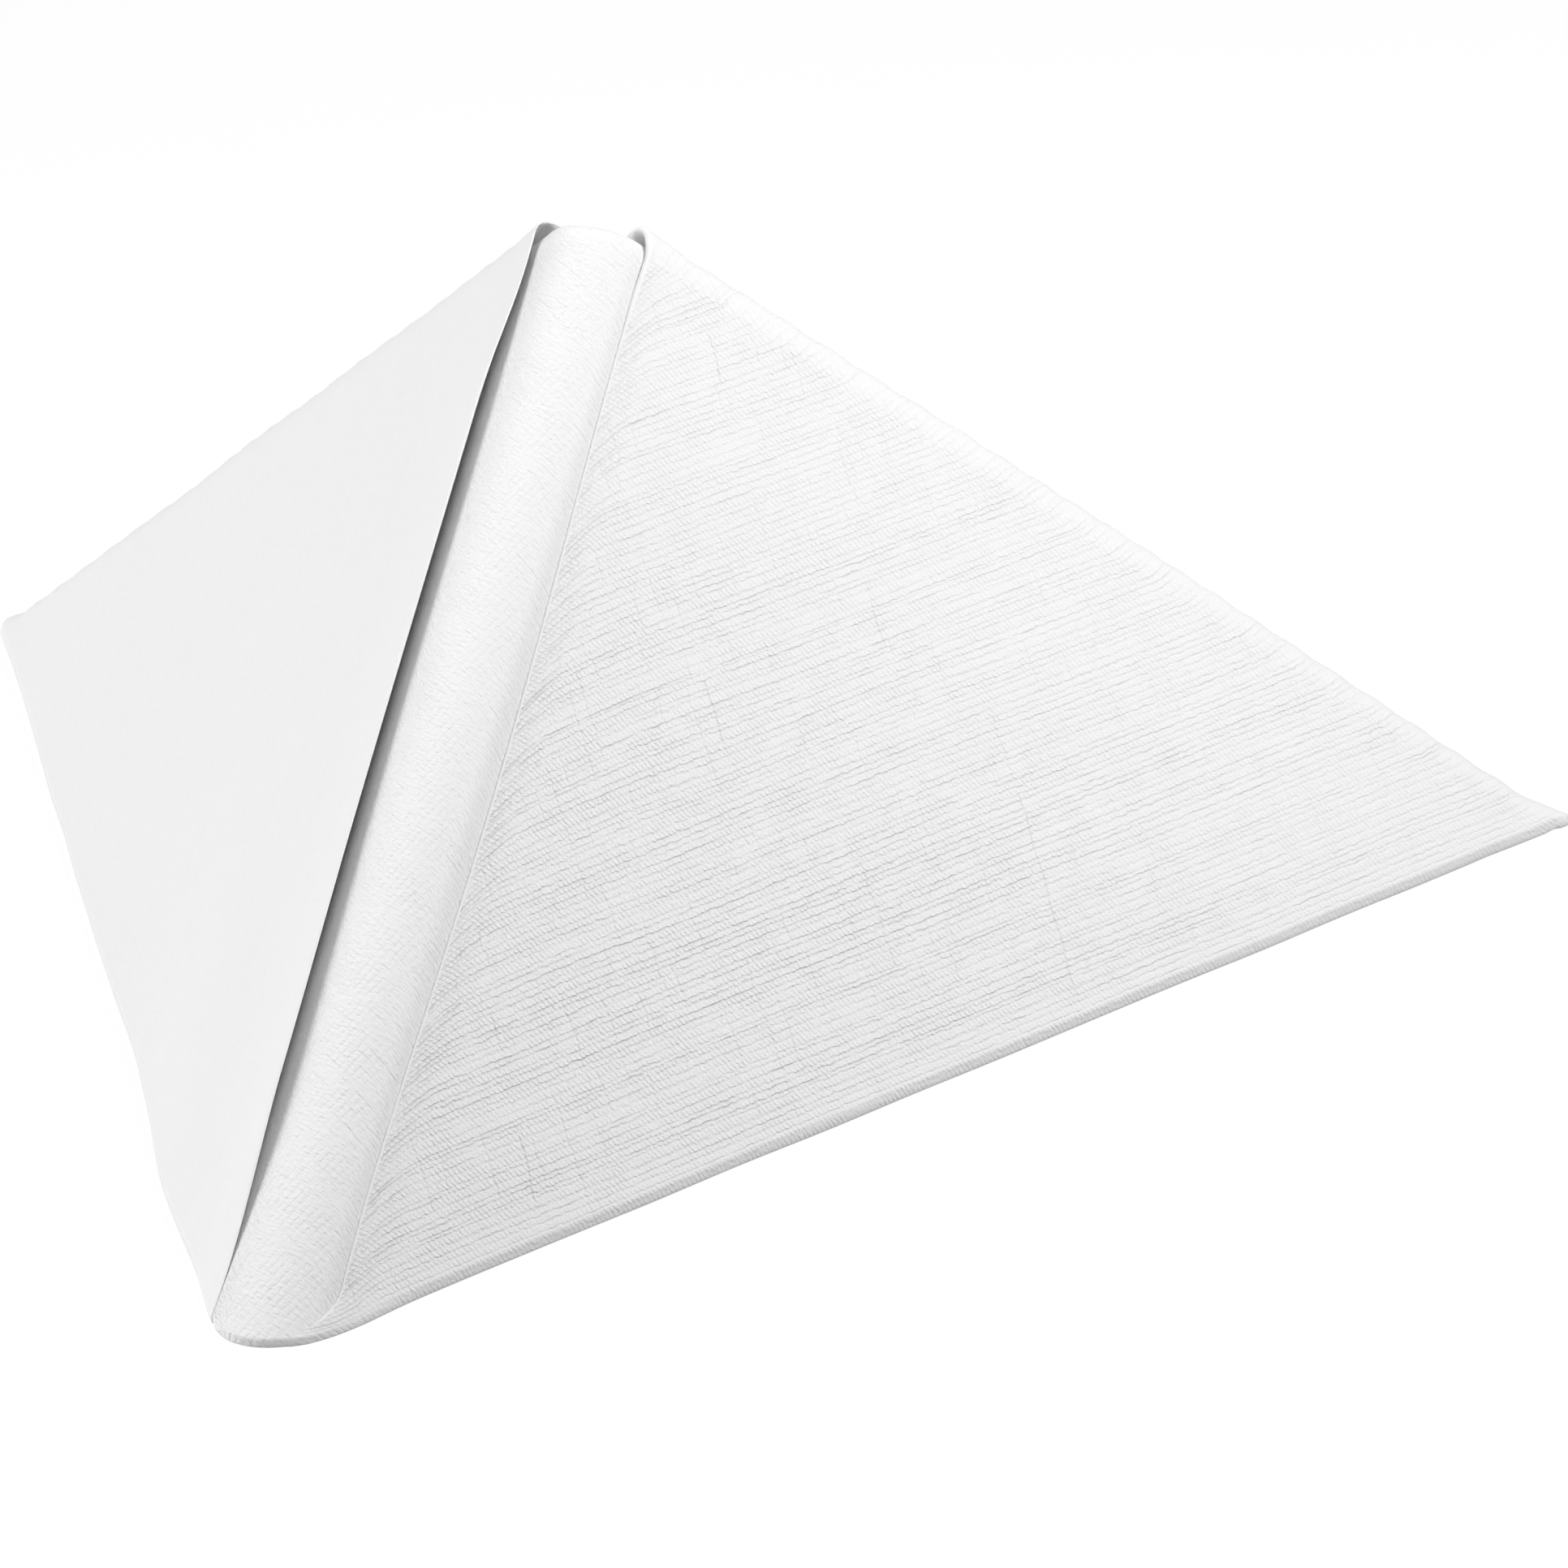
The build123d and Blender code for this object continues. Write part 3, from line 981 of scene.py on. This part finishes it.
def paper_material(
    name, paper, groups, depths, down,
    swell=(), threads=(), fibres=(), strays=(), pressed=False, arched=False,
):
    """Matte paper: threads and fibres are relief, and painted shade darkens the colour a little in the
    threads.

    down gives the run down the ridge from U and V. pressed flattens the relief along the back fold
    and by the table. arched is for the ridge: its fibres lie along curves that fall across it, and its
    colour has painted shade by its right edge.
    """
    material = bpy.data.materials.new(name)
    make = fresh_nodes(material)
    sheet = make.add("ShaderNodeUVMap", uv_map="sheet").outputs[0]

    def effect(group, values=(), place=sheet):
        inputs = {"Vector": place, **dict(values)}
        return make.add("ShaderNodeGroup", inputs, node_tree=groups[group]).outputs

    linen = effect("threads", threads)
    arch = effect("arches") if arched else None
    pulp = effect("fibre", fibres, make.vector(arch["Along"], arch["Level"]) if arched else sheet)
    ticks = make.times(linen["Tick"], depths["tick"])
    relief = make.math("MULTIPLY_ADD", linen["Line"], depths["line"], ticks)
    relief = make.math("MULTIPLY_ADD", effect("cross")["Mask"], depths["cross"], relief)
    for u, v, half, lean in strays:
        stray = effect("stray", {"U": u, "V": v, "Half Length": half, "Lean": lean})
        relief = make.math("MULTIPLY_ADD", stray["Mask"], STRAY_DEPTH, relief)
    grain = make.times(pulp["Height"], depths["fibre"])
    u, v = make.parts(sheet)[:2]
    run = make.math("MULTIPLY_ADD", u, down[0], make.times(v, down[1]))
    changes = [make.fade(run, *swell)] if swell else []
    if pressed:
        from_fold = make.math("ABSOLUTE", make.math("ADD", run, FOLD_MIDDLE))
        up = make.parts(make.add("ShaderNodeTexCoord").outputs["Object"])["Z"]
        changes += [make.fade(from_fold, *FOLD_FADE), make.fade(up, *TABLE_FADE)]
    for change in changes:
        relief = make.times(relief, change)
        grain = make.times(grain, change)
    # Painted shade: the colour darkens down in the embossed grooves; the blotches add the paper's own
    # uneven tone
    painted_shade_and_blotch = make.times(relief, GROOVE_PAINTED_SHADE)
    painted_shade_and_blotch = make.math("MULTIPLY_ADD", pulp["Blotch"], BLOTCH_TONE, painted_shade_and_blotch, clamp=True)
    # Painted shade: the ridge's colour darkens next to the right flap's edge
    if arched:
        painted_shade_and_blotch = make.math("ADD", painted_shade_and_blotch, make.fade(arch["Along"], *RIGHT_EDGE_PAINTED_SHADE), clamp=True)
        grain = make.times(grain, make.fade(arch["Along"], *LEFT_GRAIN_FADE))
    colour = make.add("ShaderNodeMix", data_type="RGBA")
    make.feed(colour.inputs["Factor"], painted_shade_and_blotch)
    colour.inputs["A"].default_value = (*paper.white, 1)
    colour.inputs["B"].default_value = (*paper.shade, 1)
    height = make.math("SUBTRACT", grain, relief)
    bump = make.add("ShaderNodeBump", {"Height": height, "Strength": 1.0, "Distance": paper.emboss})
    shader = make.add("ShaderNodeBsdfPrincipled")
    shader.inputs["Roughness"].default_value = paper.roughness
    shader.inputs["Specular IOR Level"].default_value = SPECULAR
    make.feed(shader.inputs["Base Color"], colour.outputs["Result"])
    make.feed(shader.inputs["Normal"], bump.outputs[0])
    make.add("ShaderNodeOutputMaterial", {"Surface": shader.outputs[0]})
    return material


class NAPKIN_OT_fold(bpy.types.Operator):
    """Fold the sheet of paper into the standing pyramid"""

    bl_idname = "napkin.fold"
    bl_label = "Fold the napkin"

    def execute(self, context):
        paper = context.scene.napkin_paper
        wall = FoldedWall(context.scene.napkin_fold)
        right, left = Flap(wall, "right"), Flap(wall, "left")
        groups = {
            "threads": thread_group(),
            "cross": cross_group(),
            "stray": stray_group(),
            "fibre": fibre_group(),
            "arches": arch_group(),
        }
        materials = [paper_material(name, paper, groups, **look) for name, look in PAPERS.items()]
        points, sheet, of_flap = seam_grid(right, left)
        grids = [
            (*flap_grid(right), "last row", RIGHT_PAPER),
            (*flap_grid(left), "last row", LEFT_PAPER),
            (points, sheet, "ends", np.where(of_flap, LEFT_PAPER, RIDGE_PAPER)),
        ]
        piece = build_paper("napkin_paper", grids, materials)
        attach(piece, "root")
        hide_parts("napkin")
        return {"FINISHED"}


def seen_directly(make):
    """1 for what the camera sees, also through glossy and clear things, and 0 for other light."""
    path = make.add("ShaderNodeLightPath").outputs
    mirrored = make.math("MAXIMUM", path["Is Camera Ray"], path["Is Glossy Ray"])
    return make.math("MAXIMUM", mirrored, path["Is Transmission Ray"])


def pale_floor(colour):
    """Material of the floor: matte for the light on the paper, and nearly white for the camera."""
    material = bpy.data.materials.new("pale floor")
    make = fresh_nodes(material)
    matte = make.add("ShaderNodeBsdfDiffuse", {"Color": (*colour, 1)})
    faint = make.add("ShaderNodeBsdfDiffuse", {"Color": (FLOOR_SEEN, FLOOR_SEEN, FLOOR_SEEN, 1)})
    glow = make.add("ShaderNodeEmission", {"Color": (1, 1, 1, 1), "Strength": FLOOR_GLOW})
    seen = make.add("ShaderNodeAddShader", {0: faint.outputs[0], 1: glow.outputs[0]})
    shaders = {0: seen_directly(make), 1: matte.outputs[0], 2: seen.outputs[0]}
    mix = make.add("ShaderNodeMixShader", shaders)
    make.add("ShaderNodeOutputMaterial", {"Surface": mix.outputs[0]})
    return material


def even_light(strength):
    """World that lights evenly from all round, and is white for the camera."""
    world = bpy.data.worlds.new("even light")
    make = fresh_nodes(world)
    inputs = {"Value": seen_directly(make), "To Min": strength, "To Max": 1.0}
    strength = make.add("ShaderNodeMapRange", inputs).outputs["Result"]
    light = make.add("ShaderNodeBackground", {"Color": (1, 1, 1, 1), "Strength": strength})
    make.add("ShaderNodeOutputWorld", {"Surface": light.outputs[0]})
    return world


def area_lamp(name, place, target, size, power):
    """A square soft lamp that faces the target."""
    data = bpy.data.lights.new(name, "AREA")
    data.shape = "SQUARE"
    data.size = size
    data.energy = power
    lamp = bpy.data.objects.new(name, data)
    lamp.location = place
    lamp.rotation_euler = (Vector(target) - Vector(place)).to_track_quat("-Z", "Y").to_euler()
    bpy.context.collection.objects.link(lamp)


def photo_camera():
    """The camera that shows the part as the photo does."""
    level = np.array([np.sin(CAMERA_TURN), -np.cos(CAMERA_TURN), 0]) * np.cos(CAMERA_RISE)
    back = level + np.array([0, 0, np.sin(CAMERA_RISE)])
    data = bpy.data.cameras.new("photo camera")
    data.sensor_width = SENSOR_WIDTH
    data.lens = FOCAL_PIXELS / IMAGE_SIDE * data.sensor_width
    data.clip_start, data.clip_end = CAMERA_CLIP
    camera = bpy.data.objects.new("photo camera", data)
    camera.location = Vector(CAMERA_TARGET + back * CAMERA_DISTANCE)
    camera.rotation_euler = Vector(-back).to_track_quat("-Z", "Y").to_euler()
    bpy.context.collection.objects.link(camera)
    return camera


class NAPKIN_OT_stage(bpy.types.Operator):
    """Set the floor, the lamps and the camera"""

    bl_idname = "napkin.stage"
    bl_label = "Set the stage"

    def execute(self, context):
        scene = context.scene
        look = scene.napkin_stage
        corners = np.array([[-1, -1, 0], [1, -1, 0], [1, 1, 0], [-1, 1, 0]]) * FLOOR_HALF
        mesh = bpy.data.meshes.new("floor")
        mesh.from_pydata(corners.tolist(), [], [(0, 1, 2, 3)])
        mesh.materials.append(pale_floor(look.floor))
        floor = bpy.data.objects.new("floor", mesh)
        context.collection.objects.link(floor)
        scene.world = even_light(look.fill)
        area_lamp("key lamp", *KEY_LAMP, look.key)
        area_lamp("side lamp", *SIDE_LAMP, look.side)
        scene.camera = photo_camera()
        scene.view_settings.view_transform = "Standard"
        return {"FINISHED"}


class NAPKIN_PT_panel(bpy.types.Panel):
    bl_idname = "NAPKIN_PT_panel"
    bl_label = "Pyramid Fold Napkin"
    bl_space_type = "VIEW_3D"
    bl_region_type = "UI"
    bl_category = "Napkin"

    def draw(self, context):
        for name in GROUPS:
            group = getattr(context.scene, name)
            box = self.layout.box()
            for size in group.__annotations__:
                box.prop(group, size)
        self.layout.operator("napkin.fold")
        self.layout.operator("napkin.stage")


GROUPS = {"napkin_fold": NapkinFold, "napkin_paper": NapkinPaper, "napkin_stage": NapkinStage}
CLASSES = (*GROUPS.values(), NAPKIN_OT_fold, NAPKIN_OT_stage, NAPKIN_PT_panel)


def register():
    for made in CLASSES:
        bpy.utils.register_class(made)
    for name, group in GROUPS.items():
        setattr(bpy.types.Scene, name, bpy.props.PointerProperty(type=group))


def unregister():
    for name in GROUPS:
        delattr(bpy.types.Scene, name)
    for made in reversed(CLASSES):
        bpy.utils.unregister_class(made)


def main():
    register()
    bpy.ops.napkin.fold()
    bpy.ops.napkin.stage()


if __name__ == "__main__":
    main()
